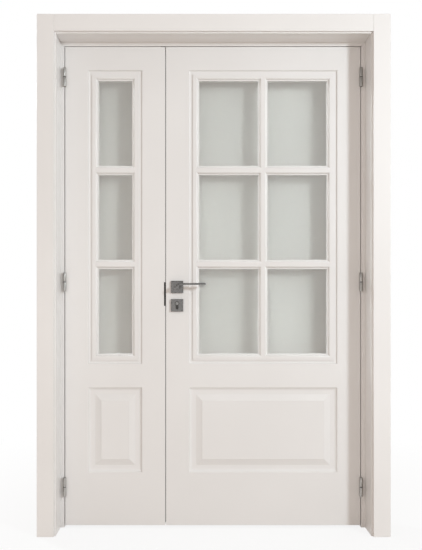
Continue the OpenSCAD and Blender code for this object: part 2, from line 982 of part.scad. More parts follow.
module rosette_base() {
    difference() {
        translate([-base_w / 2, -base_t, -base_w / 2]) cube([base_w, base_t, base_w]);
        along_y(-base_t - over, over) circle(neck_r + run_fit);
    }
}

module escutcheon() {
    translate([0, 0, -escutcheon_drop]) difference() {
        square_cover();
        translate([0, 0, escutcheon_drop - lock_centres])
            along_y(-rosette_t - over, over) euro_outline(free_fit);
    }
}

module front_lever() { color(chrome) at_spindle() lever(); }

module rear_lever() { color(chrome) at_spindle() to_rear() lever(); }

module front_rosette() { color(chrome) at_spindle() rosette(); }

module rear_rosette() { color(chrome) at_spindle() to_rear() rosette(); }

module front_rosette_base() { color(nylon) at_spindle() rosette_base(); }

module rear_rosette_base() { color(nylon) at_spindle() to_rear() rosette_base(); }

module front_escutcheon() { color(chrome) at_spindle() escutcheon(); }

module rear_escutcheon() { color(chrome) at_spindle() to_rear() escutcheon(); }

// Profile cylinder

module cylinder_body() {
    cam_room = cam_r + free_fit;
    color(brass) at_plug() difference() {
        along_y(-euro_end, leaf_t + euro_end) euro_outline(0);
        along_y(-euro_end - over, leaf_t + euro_end + over) circle(plug_r + run_fit);
        translate([-cam_room, lock_y - cam_w / 2, -cam_room]) cube([2 * cam_room, cam_w, 2 * cam_room]);
    }
}

// Plug from the front face to the cam, with its keyway
module plug() {
    difference() {
        along_y(-euro_end, lock_y - cam_w / 2) circle(plug_r);
        translate([-keyway_w / 2, -euro_end - over, -keyway_h / 2])
            cube([keyway_w, keyway_l + over, keyway_h]);
    }
}

module front_plug() { color(brass) at_plug() plug(); }

module rear_plug() { color(brass) at_plug() to_rear() plug(); }

module cylinder_cam() {
    color(steel) at_plug() along_y(lock_y - cam_w / 2, lock_y + cam_w / 2 - cam_play) {
        circle(plug_r);
        intersection() {
            translate([-cam_arm_w / 2, -cam_r]) square([cam_arm_w, cam_r]);
            circle(cam_r);
        }
    }
}

// Strike plate, on the inactive leaf

module at_strike() {
    translate([inactive_edge, leaf_y, floor_gap + spindle_h]) children();
}

module strike_pockets() {
    at_strike() {
        translate([-strike_t, -over, -strike_down])
            cube([strike_t + over, strike_w + over, strike_up + strike_down]);
        mirror([1, 0, 0]) bolt_openings(latch_throw + strike_room, dead_throw + strike_room);
    }
}

module strike_plate() {
    color(dark_metal) at_strike() difference() {
        union() {
            translate([-strike_t, -lip_t, -strike_down])
                cube([strike_t, strike_w + lip_t, strike_up + strike_down]);
            translate([-lip_w, -lip_t, -strike_down])
                cube([lip_w + lip_out, lip_t, strike_up + strike_down]);
        }
        translate([over, 0, 0]) mirror([1, 0, 0])
            bolt_openings(strike_t + 2 * over, strike_t + 2 * over);
    }
}

// Flush bolts, drawn downward from the top of the inactive leaf's meeting edge

module upper_bolt() {
    translate([inactive_edge, leaf_y + lock_y, floor_gap + leaf_h]) children();
}

module lower_bolt() {
    translate([inactive_edge, leaf_y + lock_y, floor_gap]) mirror([0, 0, 1]) children();
}

module bolt_case_solid(out) {
    translate([-bolt_plate_t, -bolt_plate_w / 2, -bolt_case_l])
        cube([bolt_plate_t + out, bolt_plate_w, bolt_case_l + out]);
    translate([-bolt_body_depth, -bolt_body_w / 2, bolt_body_end - bolt_case_l])
        cube([bolt_body_depth, bolt_body_w, bolt_case_l - 2 * bolt_body_end]);
}

module bolt_pocket() {
    bolt_case_solid(over);
    translate([-bolt_axis, 0, -2 * bolt_body_end])
        cylinder(d = bolt_rod_d + 2 * free_fit, h = 2 * bolt_body_end + over);
}

module bolt_case() {
    slot_w = thumb_w + 2 * free_fit;
    slot_h = thumb_h + bolt_throw + 2 * free_fit;
    difference() {
        bolt_case_solid(0);
        translate([-bolt_axis, 0, -bolt_case_l + bolt_body_end + bolt_plate_t])
            cylinder(d = bolt_rod_d + 2 * run_fit, h = bolt_case_l);
        translate([-bolt_axis, -slot_w / 2, -thumb_at - thumb_h / 2 - free_fit])
            cube([bolt_axis + over, slot_w, slot_h]);
    }
}

module bolt_rod() {
    rod_l = thumb_at + thumb_h / 2 - bolt_tip;
    translate([-bolt_axis, 0, -rod_l - bolt_tip]) cylinder(d = bolt_rod_d, h = rod_l);
    translate([-bolt_axis, -thumb_w / 2, -thumb_at - thumb_h / 2])
        cube([bolt_axis - bolt_inset, thumb_w, thumb_h]);
}

module upper_bolt_case() { color(steel) upper_bolt() bolt_case(); }

module upper_bolt_rod() { color(steel) upper_bolt() bolt_rod(); }

module lower_bolt_case() { color(steel) lower_bolt() bolt_case(); }

module lower_bolt_rod() { color(steel) lower_bolt() bolt_rod(); }

// Keep plate in the head, over the upper flush bolt
module at_keep() {
    translate([inactive_edge - bolt_axis, leaf_y + lock_y, head_z]) children();
}

module keep_block(x, y, z) {
    translate([-x / 2, -y / 2, -over]) cube([x, y, z + over]);
}

module head_keep() {
    color(steel) at_keep() difference() {
        translate([-keep_w / 2, -keep_l / 2, 0]) cube([keep_w, keep_l, keep_t]);
        keep_block(keep_hole, keep_hole, keep_t + over);
    }
}

jamb_left();
jamb_right();
jamb_head();
stop_left();
stop_right();
stop_head();
lining_left();
lining_right();
lining_head();
front_casing_left();
front_casing_right();
front_casing_head();
rear_casing_left();
rear_casing_right();
rear_casing_head();
rebate_seal();
head_keep();
left_hinge_frame_halves();
left_hinge_pins();
left_hinge_rings();
left_hinge_leaf_halves();
right_hinge_frame_halves();
right_hinge_pins();
right_hinge_rings();
right_hinge_leaf_halves();
inactive_slab();
inactive_glass();
inactive_front_beads();
inactive_rear_beads();
inactive_front_bars();
inactive_rear_bars();
active_slab();
active_glass();
active_front_beads();
active_rear_beads();
active_front_bars();
active_rear_bars();
lock_case();
lock_face_plate();
latch_bolt();
dead_bolt();
follower();
spindle();
front_lever();
rear_lever();
front_rosette();
rear_rosette();
front_rosette_base();
rear_rosette_base();
front_escutcheon();
rear_escutcheon();
cylinder_body();
front_plug();
rear_plug();
cylinder_cam();
strike_plate();
upper_bolt_case();
upper_bolt_rod();
lower_bolt_case();
lower_bolt_rod();
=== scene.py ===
# %% [markdown]
# # A leaf and a half of an interior door, dressed for its picture
# The construction was made elsewhere and comes in as a finished frame: boards, leaves, glass, lock.
# This lesson gives it finishes, small fasteners, light and a camera. The loader puts every piece in
# metres where it belongs, so nothing here moves a board.

# %% Load the frame
import json
import bpy
import numpy as np
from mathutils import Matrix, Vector


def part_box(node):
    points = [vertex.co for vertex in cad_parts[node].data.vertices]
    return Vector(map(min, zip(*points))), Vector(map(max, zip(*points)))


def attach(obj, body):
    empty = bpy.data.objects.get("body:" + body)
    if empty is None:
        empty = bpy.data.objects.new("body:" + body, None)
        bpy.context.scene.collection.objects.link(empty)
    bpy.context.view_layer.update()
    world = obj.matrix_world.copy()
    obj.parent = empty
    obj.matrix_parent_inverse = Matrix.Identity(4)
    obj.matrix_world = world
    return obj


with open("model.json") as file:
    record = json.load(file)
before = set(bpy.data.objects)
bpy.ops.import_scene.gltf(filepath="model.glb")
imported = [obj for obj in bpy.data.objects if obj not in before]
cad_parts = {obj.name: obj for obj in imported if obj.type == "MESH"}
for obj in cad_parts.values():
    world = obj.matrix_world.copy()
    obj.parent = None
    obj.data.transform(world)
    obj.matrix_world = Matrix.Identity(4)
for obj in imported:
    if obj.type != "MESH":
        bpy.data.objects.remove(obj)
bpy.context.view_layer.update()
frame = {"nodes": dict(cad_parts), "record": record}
scene = bpy.context.scene

# %% [markdown]
# ## The camera
# The picture was taken level, from about three metres, a little left of the middle and at chest
# height: the reveal shows more on the right than on the left, and upright lines stay upright. A level
# camera with a small lens shift keeps them so. A tilted camera would make the jambs lean.

# %% Camera
IMAGE_W, IMAGE_H = 422, 550
FOCAL_PX, SENSOR_MM = 744.0, 36.0
CAMERA_PLACE, LENS_SHIFT = (-0.103, -3.148, 1.025), (0.0409, 0.02)


def photo_camera(place, shift):
    """A level camera that looks along +Y: lens in mm is the focal length in pixels times the
    sensor's width over the longer image side, and the shift is in parts of that side."""
    data = bpy.data.cameras.new("photo_camera")
    data.sensor_width = SENSOR_MM
    data.lens = FOCAL_PX * SENSOR_MM / max(IMAGE_W, IMAGE_H)
    data.shift_x, data.shift_y = shift
    camera = bpy.data.objects.new("photo_camera", data)
    camera.location = place
    camera.rotation_euler = (np.pi / 2, 0.0, 0.0)
    scene.collection.objects.link(camera)
    return camera


scene.camera = photo_camera(CAMERA_PLACE, LENS_SHIFT)
print("lens", round(scene.camera.data.lens, 2), "mm")

# %% [markdown]
# ## Surfaces from grids
# Everything new in this scene is a surface worked out on a grid of two parameters. One helper numbers
# the faces of such a grid: every cell between four neighbouring points becomes one. Another turns
# points and faces into an object. Working with whole arrays keeps the formulas readable and quick.

# %% Grid helpers
def grid_faces(rows, columns):
    """Corner numbers of the quads of a grid whose points are counted row by row."""
    number = np.arange(rows * columns).reshape(rows, columns)
    corners = (number[:-1, :-1], number[:-1, 1:], number[1:, 1:], number[1:, :-1])
    return np.stack(corners, axis=-1).reshape(-1, 4)


def surface_object(name, points, faces, finish, smooth):
    """An object at the origin with this grid of points (x, y, z last), the faces of every array in
    the list, a row of corner numbers for each face, and one finish all over."""
    mesh = bpy.data.meshes.new(name)
    mesh.from_pydata(points.reshape(-1, 3).tolist(), [], sum((rows.tolist() for rows in faces), []))
    mesh.polygons.foreach_set("use_smooth", np.full(len(mesh.polygons), smooth))
    mesh.materials.append(finish)
    mesh.update()
    piece = bpy.data.objects.new(name, mesh)
    scene.collection.objects.link(piece)
    return piece


print("a grid of 3 by 3 points has", len(grid_faces(3, 3)), "faces")

# %% [markdown]
# ## Node helpers
# Materials are small graphs. The helpers below only shorten the typing: one adds a node and fills its
# inputs, where a value is either a number or the output of another node, and one opens a material.

# %% Nodes and materials
def add_node(tree, kind, inputs=(), **settings):
    """A node of this kind: settings are its own options, inputs a dict of values or outputs."""
    node = tree.nodes.new(kind)
    for option, value in settings.items():
        setattr(node, option, value)
    for socket, value in dict(inputs).items():
        if isinstance(value, bpy.types.NodeSocket):
            tree.links.new(value, node.inputs[socket])
        else:
            node.inputs[socket].default_value = value
    return node


def open_material(name):
    """A material with a Principled shader: returns the material, its tree and that shader."""
    material = bpy.data.materials.new(name)
    material.use_nodes = True
    tree = material.node_tree
    return material, tree, tree.nodes["Principled BSDF"]


print("node and material helpers ready")

# %% [markdown]
# A few nodes come back in nearly every material: the place on the piece, a noise, a change of range, a
# mix of two tints and a sum or product. A short name for each lets a graph be read like a formula.

# %% Nodes that come back
WHITE = (1.0, 1.0, 1.0, 1.0)
NOISE_SPAN = (0.3, 0.7)


def object_place(tree):
    """The place on the piece in metres, which stays with the piece when it moves."""
    return add_node(tree, "ShaderNodeTexCoord").outputs["Object"]


def noise(tree, place, scale, detail, roughness=0.5):
    """A noise with about so many grains to each unit of the place. Most of it lies in NOISE_SPAN."""
    return add_node(tree, "ShaderNodeTexNoise", {"Vector": place, "Scale": scale, "Detail": detail,
                                                 "Roughness": roughness}).outputs[0]


def remap(tree, value, span, result=(0.0, 1.0)):
    """A value that runs along result as the given one runs along span, and stops at its ends."""
    ends = {"From Min": span[0], "From Max": span[1], "To Min": result[0], "To Max": result[1]}
    return add_node(tree, "ShaderNodeMapRange", {"Value": value, **ends}).outputs[0]


def mix_tints(tree, share, first, second):
    """The first tint where the share is 0, the second where it is 1."""
    return add_node(tree, "ShaderNodeMix", {0: share, 6: first, 7: second}, data_type="RGBA").outputs[2]


def maths(tree, operation, first, second):
    """The two values put together by this operation."""
    return add_node(tree, "ShaderNodeMath", {0: first, 1: second}, operation=operation).outputs[0]


def mix_shaders(tree, share, first, second):
    """The first shader where the share is 0, the second where it is 1."""
    inputs = {0: share, 1: first.outputs[0], 2: second.outputs[0]}
    return add_node(tree, "ShaderNodeMixShader", inputs).outputs[0]


print("most noise lies from", *NOISE_SPAN)

# %% [markdown]
# ## The white surround
# A studio door stands on a pale floor in front of white paper. To the camera the surround is plain
# white, so world and floor answer camera, mirror and glass rays with white, and light everything else
# as a room does. The Light Path node tells which kind of ray has arrived.

# %% Rays that see the surround
HALF_A_BOUNCE = 0.5


def seen_directly(tree):
    """1 for a ray from the camera, or from the camera by way of metal or glass, else 0. A ray that
    has left a matt surface since then carries light, not a picture, and gets 0 too."""
    path = add_node(tree, "ShaderNodeLightPath").outputs
    mirrored = maths(tree, "MAXIMUM", path["Is Camera Ray"], path["Is Glossy Ray"])
    kind = maths(tree, "MAXIMUM", mirrored, path["Is Transmission Ray"])
    no_matt = maths(tree, "LESS_THAN", path["Diffuse Depth"], HALF_A_BOUNCE)
    return maths(tree, "MULTIPLY", kind, no_matt)


print("white for rays with fewer matt bounces than", HALF_A_BOUNCE)

# %% [markdown]
# ## The sky
# More soft light comes from above than from the sides, as from a broad soft box over the door. A world
# whose strength grows with the height of the ray gives that without any lamp in the way. Reflections
# see grey walls under a dark ceiling, which is what gives metal its edges.

# %% World
SKY_COLOUR = (1.0, 0.91, 0.845, 1.0)
SKY_LOW, SKY_HIGH, SKY_SPAN = 0.52, 0.73, (0.0, 0.7)
WALL_GREY, CEILING_GREY, CEILING_SPAN = 0.55, 0.04, (0.3, 0.75)


def studio_world():
    """White where a ray from the camera ends. Other light comes from a warm sky that grows with the
    height of the ray, from SKY_LOW at the horizon to SKY_HIGH overhead, and a reflection goes from
    WALL_GREY to CEILING_GREY in the same way. Light is not sampled from the sky itself, so every
    ray knows what kind it is when it gets there."""
    world = bpy.data.worlds.new("studio")
    world.use_nodes = True
    world.cycles.sampling_method = "NONE"
    tree = world.node_tree
    tree.nodes.clear()
    heading = add_node(tree, "ShaderNodeTexCoord").outputs["Generated"]
    height = add_node(tree, "ShaderNodeSeparateXYZ", {0: heading}).outputs["Z"]
    room = remap(tree, height, CEILING_SPAN, (WALL_GREY, CEILING_GREY))
    mirrored = add_node(tree, "ShaderNodeLightPath").outputs["Is Glossy Ray"]
    paper_light = add_node(tree, "ShaderNodeMix", {0: mirrored, 2: 1.0, 3: room}).outputs[0]
    soft_box = remap(tree, height, SKY_SPAN, (SKY_LOW, SKY_HIGH))
    sky = add_node(tree, "ShaderNodeBackground", {"Color": SKY_COLOUR, "Strength": soft_box})
    paper = add_node(tree, "ShaderNodeBackground", {"Color": WHITE, "Strength": paper_light})
    add_node(tree, "ShaderNodeOutputWorld", {0: mix_shaders(tree, seen_directly(tree), sky, paper)})
    return world


scene.world = studio_world()
scene.view_settings.view_transform = "Standard"
print("sky from", SKY_LOW, "to", SKY_HIGH)

# %% [markdown]
# ## The floor
# The floor is white to the camera as well, but close to the door it keeps part of its own shading. That
# leaves the shadow there and lets the far floor melt into the paper. A floor that is lit until it looks
# white would do it too, and would light the door far too much from below.

# %% Floor
FLOOR_HALF, FLOOR_POINTS = 9.0, 25
SHADOW_SHARE, FADE_SPAN = 0.85, (0.8, 2.2)
FLOOR_LIGHT, FLOOR_SHADED = (0.82, 0.81, 0.80, 1.0), (0.79, 0.78, 0.77, 1.0)
FLOOR_BOUNCE = (0.54, 0.47, 0.41, 1.0)
MATT_ROUGH = 0.9


def floor_material():
    """Pale matt floor: white to the camera by a share that grows from SHADOW_SHARE to 1 along
    FADE_SPAN, in metres from the door, the rest is the floor's own shading. Light that bounces off
    it sees a darker, warmer floor, so that the undersides of the mouldings stay in shade."""
    material, tree, matt = open_material("studio_floor")
    place = object_place(tree)
    pale = mix_tints(tree, noise(tree, place, scale=3.0, detail=3.0), FLOOR_LIGHT, FLOOR_SHADED)
    bounced = add_node(tree, "ShaderNodeLightPath").outputs["Is Diffuse Ray"]
    tree.links.new(mix_tints(tree, bounced, pale, FLOOR_BOUNCE), matt.inputs["Base Color"])
    matt.inputs["Roughness"].default_value = MATT_ROUGH
    reach = add_node(tree, "ShaderNodeVectorMath", {0: place}, operation="LENGTH").outputs["Value"]
    share = remap(tree, reach, FADE_SPAN, (SHADOW_SHARE, 1.0))
    amount = maths(tree, "MULTIPLY", share, seen_directly(tree))
    white = add_node(tree, "ShaderNodeEmission", {"Color": WHITE, "Strength": 1.0})
    tree.links.new(mix_shaders(tree, amount, matt, white), tree.nodes["Material Output"].inputs[0])
    return material


side = np.linspace(-FLOOR_HALF, FLOOR_HALF, FLOOR_POINTS)
along, away = np.meshgrid(side, side)
floor = surface_object("studio_floor", np.stack([along, away, np.zeros_like(along)], axis=-1),
                       [grid_faces(FLOOR_POINTS, FLOOR_POINTS)], floor_material(), smooth=True)
print("floor", floor.dimensions[:2])

# %% [markdown]
# ## The lamps
# The right jamb throws a soft-edged shadow on the wide leaf, and the lever one to its left and a
# little down. Both point to a soft cool lamp on the right, a little above the head of the door. The
# left strip of the frame is dimmer than the leaf beside it, so a broad weak lamp stands low in front
# and to the left as well. Two disk lamps give just that; the sky alone would leave the leaves flat. A
# third stands behind, for whoever walks round the door, far to the side and high: from straight
# behind, satin glass would spread its light over the panes.

# %% Key, fill and rear lamp
COOL_LIGHT, WARM_LIGHT = (0.86, 0.95, 1.0), (1.0, 0.95, 0.91)
KEY_TARGET, FILL_TARGET = (0.0, 0.0, 1.05), (0.0, 0.0, 1.0)


def aimed_lamp(name, place, target, size, power, colour):
    """A disk lamp whose own -Z axis points from its place to the target."""
    data = bpy.data.lights.new(name, "AREA")
    data.shape, data.size, data.energy, data.color = "DISK", size, power, colour
    lamp = bpy.data.objects.new(name, data)
    lamp.location = place
    lamp.rotation_euler = (Vector(target) - Vector(place)).to_track_quat("-Z", "Y").to_euler()
    scene.collection.objects.link(lamp)
    return lamp


key_lamp = aimed_lamp("key_lamp", place=(2.95, -3.6, 2.35), target=KEY_TARGET,
                      size=0.54, power=106.0, colour=COOL_LIGHT)
fill_lamp = aimed_lamp("fill_lamp", place=(-1.9, -5.6, 0.6), target=FILL_TARGET,
                       size=1.5, power=34.0, colour=WARM_LIGHT)
rear_lamp = aimed_lamp("rear_lamp", place=(-3.4, 2.6, 3.3), target=KEY_TARGET,
                       size=0.9, power=85.0, colour=COOL_LIGHT)
print("lamps", *(lamp.data.energy for lamp in (key_lamp, fill_lamp, rear_lamp)), "W")

# %% [markdown]
# ## Finishes as node groups
# Frame and leaves share one kind of coat, the metals another and the mouldings a third. Each kind is a
# node group with the same three outputs: a colour, a roughness and a height. One helper opens such a
# group and one closes it. Plain materials would need the same graph drawn once for each of them.

# %% Finish groups
VECTOR, COLOUR, NUMBER = "NodeSocketVector", "NodeSocketColor", "NodeSocketFloat"
FINISH_INPUTS = {"Place": VECTOR, "Light tint": COLOUR, "Shaded tint": COLOUR}
FINISH_OUTPUTS = {"Colour": COLOUR, "Roughness": NUMBER, "Height": NUMBER}


def open_finish(name, more_inputs):
    """A group with a finish's inputs, more of its own and a finish's outputs: returns the group's
    tree, what it is given and the sockets of its results."""
    tree = bpy.data.node_groups.new(name, "ShaderNodeTree")
    for title, kind in {**FINISH_INPUTS, **more_inputs}.items():
        tree.interface.new_socket(title, in_out="INPUT", socket_type=kind)
    for title, kind in FINISH_OUTPUTS.items():
        tree.interface.new_socket(title, in_out="OUTPUT", socket_type=kind)
    return tree, tree.nodes.new("NodeGroupInput").outputs, tree.nodes.new("NodeGroupOutput").inputs


def close_finish(tree, result, *values):
    """Leads the colour, the roughness and the height to the group's outputs."""
    for title, value in zip(FINISH_OUTPUTS, values):
        tree.links.new(value, result[title])
    return tree


print("a finish gives", *FINISH_OUTPUTS)

# %% [markdown]
# A material wears a finish when its Principled shader takes what the group gives. The height goes to
# a Bump node, since the skin of a finish is far too fine to model.

# %% A material that wears a finish
def finished(name, group, inputs, bump_strength, bump_depth):
    """A material whose Principled shader takes Colour, Roughness and, by a Bump, Height from this
    group: returns the material and that shader."""
    material, tree, shader = open_material(name)
    inputs = {"Place": object_place(tree), **inputs}
    effect = add_node(tree, "ShaderNodeGroup", inputs, node_tree=group).outputs
    bump = add_node(tree, "ShaderNodeBump", {"Height": effect["Height"], "Strength": bump_strength,
                                             "Distance": bump_depth})
    tree.links.new(effect["Colour"], shader.inputs["Base Color"])
    tree.links.new(effect["Roughness"], shader.inputs["Roughness"])
    tree.links.new(bump.outputs[0], shader.inputs["Normal"])
    return material, shader


print("a finish takes", *FINISH_INPUTS)

# %% [markdown]
# ## Lacquer
# The boards and leaves are sprayed with a warm white satin lacquer. Close up such a coat has a very
# fine orange peel, a gloss that wanders a little and a tone that is not perfectly even from board to
# board. Three noises of different sizes draw these three, and a thin clear coat lies over them.

# %% Sprayed coat
COAT_ROUGH = (0.36, 0.48)


def sprayed_coat():
    """Colour, roughness and height of a sprayed coat. The tone leans between the light and the
    shaded tint with a broad noise, the gloss follows a middle one, and the height is the peel."""
    tree, given, result = open_finish("sprayed coat", {"Peel": NUMBER})
    place = given["Place"]
    lean = remap(tree, noise(tree, place, scale=2.4, detail=2.0), NOISE_SPAN)
    tint = mix_tints(tree, lean, given["Light tint"], given["Shaded tint"])
    rough = remap(tree, noise(tree, place, scale=16.0, detail=3.0), NOISE_SPAN, COAT_ROUGH)
    peel = noise(tree, place, scale=given["Peel"], detail=1.5, roughness=0.4)
    return close_finish(tree, result, tint, rough, peel)


SPRAYED_COAT = sprayed_coat()
print("group", SPRAYED_COAT.name)

# %% [markdown]
# The frame is sprayed in one go and the leaves in another, so the frame's lacquer is a shade lighter
# and its peel a little coarser. What is the same all over, such as the clear coat, is set on the
# shader itself.

# %% Lacquers
CLEAR_COAT, CLEAR_COAT_ROUGH = 0.15, 0.3


def lacquer(name, light_tint, shaded_tint, peel):
    """A satin lacquer with these two tints and so many peel cells to the metre."""
    inputs = {"Light tint": light_tint, "Shaded tint": shaded_tint, "Peel": peel}
    material, shader = finished(name, SPRAYED_COAT, inputs, bump_strength=0.12, bump_depth=0.0003)
    shader.inputs["Coat Weight"].default_value = CLEAR_COAT
    shader.inputs["Coat Roughness"].default_value = CLEAR_COAT_ROUGH
    return material


frame_lacquer = lacquer("frame_lacquer", (0.845, 0.833, 0.826, 1.0), (0.82, 0.807, 0.798, 1.0), 520.0)
leaf_lacquer = lacquer("leaf_lacquer", (0.815, 0.805, 0.80, 1.0), (0.79, 0.779, 0.772, 1.0), 560.0)
print("lacquers", frame_lacquer.name, leaf_lacquer.name)

# %% [markdown]
# ## Metals
# The lever, its rosette and the escutcheon are satin chrome, the hinges satin nickel, the strike is
# blackened and the lock's bolts are brass. All of them are finished with a fine belt, so they share
# hair lines in one direction. A noise squeezed along one axis draws such lines anywhere, with no
# unwrapping, and the same lines steer tone, gloss and a shallow bump.

# %% Hair lines
TWO_NOISES_SPAN = (0.7, 1.3)


def hair_lines():
    """Colour, roughness and height of belt-finished metal: a noise read at Place times Stretch, so
    that the axis with the small number runs along the lines, and a smudge added for tone and gloss."""
    own = {"Stretch": VECTOR, "Rough low": NUMBER, "Rough high": NUMBER}
    tree, given, result = open_finish("hair lines", own)
    drawn = add_node(tree, "ShaderNodeVectorMath", {0: given["Place"], 1: given["Stretch"]},
                     operation="MULTIPLY").outputs[0]
    lines = noise(tree, drawn, scale=1.0, detail=4.0, roughness=0.6)
    smudge = noise(tree, given["Place"], scale=60.0, detail=2.0)
    both = maths(tree, "ADD", lines, smudge)
    lean = remap(tree, both, TWO_NOISES_SPAN)
    tint = mix_tints(tree, lean, given["Light tint"], given["Shaded tint"])
    rough = remap(tree, both, TWO_NOISES_SPAN, (given["Rough low"], given["Rough high"]))
    return close_finish(tree, result, tint, rough, lines)


HAIR_LINES = hair_lines()
print("group", HAIR_LINES.name)

# %% [markdown]
# Each metal is now its two tints, the way its lines run and how rough it is. The lever is drawn along
# its length, hinges and strike along their height. The roughness keeps them satin, not mirror bright.

# %% Belt-finished metals
ALONG_X, ALONG_Z = (90.0, 2600.0, 2600.0), (2600.0, 2600.0, 90.0)


def metal(name, light_tint, shaded_tint, stretch, rough):
    """A belt-finished metal: two tints, the line directions and the range of its roughness."""
    inputs = {"Light tint": light_tint, "Shaded tint": shaded_tint, "Stretch": stretch,
              "Rough low": rough[0], "Rough high": rough[1]}
    material, shader = finished(name, HAIR_LINES, inputs, bump_strength=0.15, bump_depth=0.0001)
    shader.inputs["Metallic"].default_value = 1.0
    return material


satin_chrome = metal("satin_chrome_handle", (0.28, 0.271, 0.266, 1.0), (0.205, 0.198, 0.193, 1.0),
                     ALONG_X, rough=(0.20, 0.32))
satin_nickel = metal("satin_nickel_hinge", (0.50, 0.48, 0.455, 1.0), (0.41, 0.395, 0.375, 1.0),
                     ALONG_Z, rough=(0.38, 0.50))
black_strike = metal("blackened_strike", (0.040, 0.038, 0.036, 1.0), (0.022, 0.021, 0.020, 1.0),
                     ALONG_Z, rough=(0.34, 0.48))
nickel_plate = metal("nickel_plate", (0.50, 0.485, 0.465, 1.0), (0.42, 0.405, 0.39, 1.0),
                     ALONG_X, rough=(0.12, 0.22))
# Painted shade: this near-black nickel on the cylinder body stands for the shadow in the cut-out round
# the plug.
nickel_painted_shade = metal("nickel_painted_shade", (0.085, 0.081, 0.077, 1.0), (0.055, 0.052, 0.050, 1.0),
                    ALONG_Z, rough=(0.24, 0.36))
lock_brass = metal("lock_brass", (0.62, 0.47, 0.24, 1.0), (0.50, 0.36, 0.17, 1.0),
                   ALONG_X, rough=(0.22, 0.36))
METALS = (satin_chrome, satin_nickel, black_strike, nickel_plate, nickel_painted_shade, lock_brass)
print("metals", *(finish.name for finish in METALS))

# %% [markdown]
# ## Nylon and rubber
# The washers between the hinge halves and the bases under the rosettes are moulded nylon, and the
# seal in the rebate is soft rubber. Both come out of a mould or die with a fine dull skin. One group
# makes that skin, a scatter of tiny cells, with a broad noise for the slight change of tone.

# %% Moulded skin
SKIN_ROUGH = (0.48, 0.66)


def moulded_skin():
    """Colour, roughness and height of a moulded skin: small round cells from a Voronoi texture,
    a broad noise for the tone and the gloss."""
    tree, given, result = open_finish("moulded skin", {"Cells": NUMBER})
    cells = add_node(tree, "ShaderNodeTexVoronoi", {"Vector": given["Place"], "Scale": given["Cells"]})
    broad = noise(tree, given["Place"], scale=25.0, detail=3.0)
    tint = mix_tints(tree, broad, given["Light tint"], given["Shaded tint"])
    rough = remap(tree, broad, NOISE_SPAN, SKIN_ROUGH)
    return close_finish(tree, result, tint, rough, cells.outputs[0])


MOULDED_SKIN = moulded_skin()
print("group", MOULDED_SKIN.name)

# %% [markdown]
# Nylon and rubber then differ in tone and in the size of their cells. Both are kept dark: they sit in
# gaps, where the picture has thin dark lines.

# %% Nylon and rubber
def moulding(name, light_tint, shaded_tint, cells):
    """A dull moulded plastic or rubber with so many skin cells to the metre."""
    inputs = {"Light tint": light_tint, "Shaded tint": shaded_tint, "Cells": cells}
    return finished(name, MOULDED_SKIN, inputs, bump_strength=0.2, bump_depth=0.0002)[0]


# Their dark tones are partly their own and partly painted shade for the thin dark lines in the gaps.
dark_nylon_and_shade = moulding("dark_nylon_and_shade", (0.055, 0.053, 0.051, 1.0), (0.035, 0.034, 0.033, 1.0), 2200.0)
dark_rubber_and_shade = moulding("dark_rubber_and_shade", (0.030, 0.027, 0.025, 1.0), (0.020, 0.018, 0.016, 1.0), 1500.0)
print("mouldings", dark_nylon_and_shade.name, dark_rubber_and_shade.name)

# %% [markdown]
# ## Satin glass
# The panes are satin glass: etched so that light comes through and shapes do not. A Principled shader
# with full transmission and some roughness does that, and a fine frost in its bump breaks up the
# gloss. Lamps would not get through such glass by themselves, so shadow rays meet a clear surface
# instead, chosen by Light Path.

# %% Glass
ETCH_ROUGH, GLASS_IOR = (0.38, 0.44), 1.5
GLASS_LIGHT, GLASS_SHADED = (0.94, 0.945, 0.92, 1.0), (0.91, 0.918, 0.893, 1.0)
GLASS_CLEAR = (0.94, 0.94, 0.925, 1.0)


def satin_glass_sheet():
    """Rough transmission for what the eye sees, a tinted clear surface for rays to the lamps."""
    material, tree, shader = open_material("satin_glass_sheet")
    place = object_place(tree)
    frost = noise(tree, place, scale=1400.0, detail=3.0)
    cloud = noise(tree, place, scale=9.0, detail=2.0)
    bump = add_node(tree, "ShaderNodeBump", {"Height": frost, "Strength": 0.1, "Distance": 0.0001})
    shader.inputs["Transmission Weight"].default_value = 1.0
    shader.inputs["IOR"].default_value = GLASS_IOR
    tree.links.new(mix_tints(tree, cloud, GLASS_LIGHT, GLASS_SHADED), shader.inputs["Base Color"])
    tree.links.new(remap(tree, cloud, NOISE_SPAN, ETCH_ROUGH), shader.inputs["Roughness"])
    tree.links.new(bump.outputs[0], shader.inputs["Normal"])
    clear = add_node(tree, "ShaderNodeBsdfTransparent", {"Color": GLASS_CLEAR})
    shadow = add_node(tree, "ShaderNodeLightPath").outputs["Is Shadow Ray"]
    tree.links.new(mix_shaders(tree, shadow, shader, clear), tree.nodes["Material Output"].inputs[0])
    return material


satin_glass = satin_glass_sheet()
print("glass", satin_glass.name)

# %% [markdown]
# ## What shows through the glass
# In the picture each pane carries the soft shadow of the bars and stiles, so something pale stands
# close behind the door. A sheet of pale card at the rear edge of the jambs does that. It is stage, not
# door: only rays that came through glass may see it, so it never shows itself, lights nothing and
# shades nothing.

# %% Pale card behind the leaves
CARD_LIGHT, CARD_SHADED = (0.475, 0.457, 0.443, 1.0), (0.455, 0.437, 0.423, 1.0)
# The card's glow is painted light: it lifts the shadows of bars and stiles seen through the panes.
CARD_PAINTED_GLOW = 0.05
CARD_HALF, CARD_FOOT, CARD_TOP, CARD_POINTS = 0.60, 0.55, 2.05, 13


def card_material():
    """A matt card with a faint paper tone and a faint glow, painted light that lifts the shade in the
    panes.
    """
    material, tree, shader = open_material("pale_card")
    fibre = noise(tree, object_place(tree), scale=5.0, detail=3.0)
    tint = mix_tints(tree, fibre, CARD_LIGHT, CARD_SHADED)
    tree.links.new(tint, shader.inputs["Base Color"])
    tree.links.new(tint, shader.inputs["Emission Color"])
    shader.inputs["Roughness"].default_value = MATT_ROUGH
    shader.inputs["Emission Strength"].default_value = CARD_PAINTED_GLOW
    return material


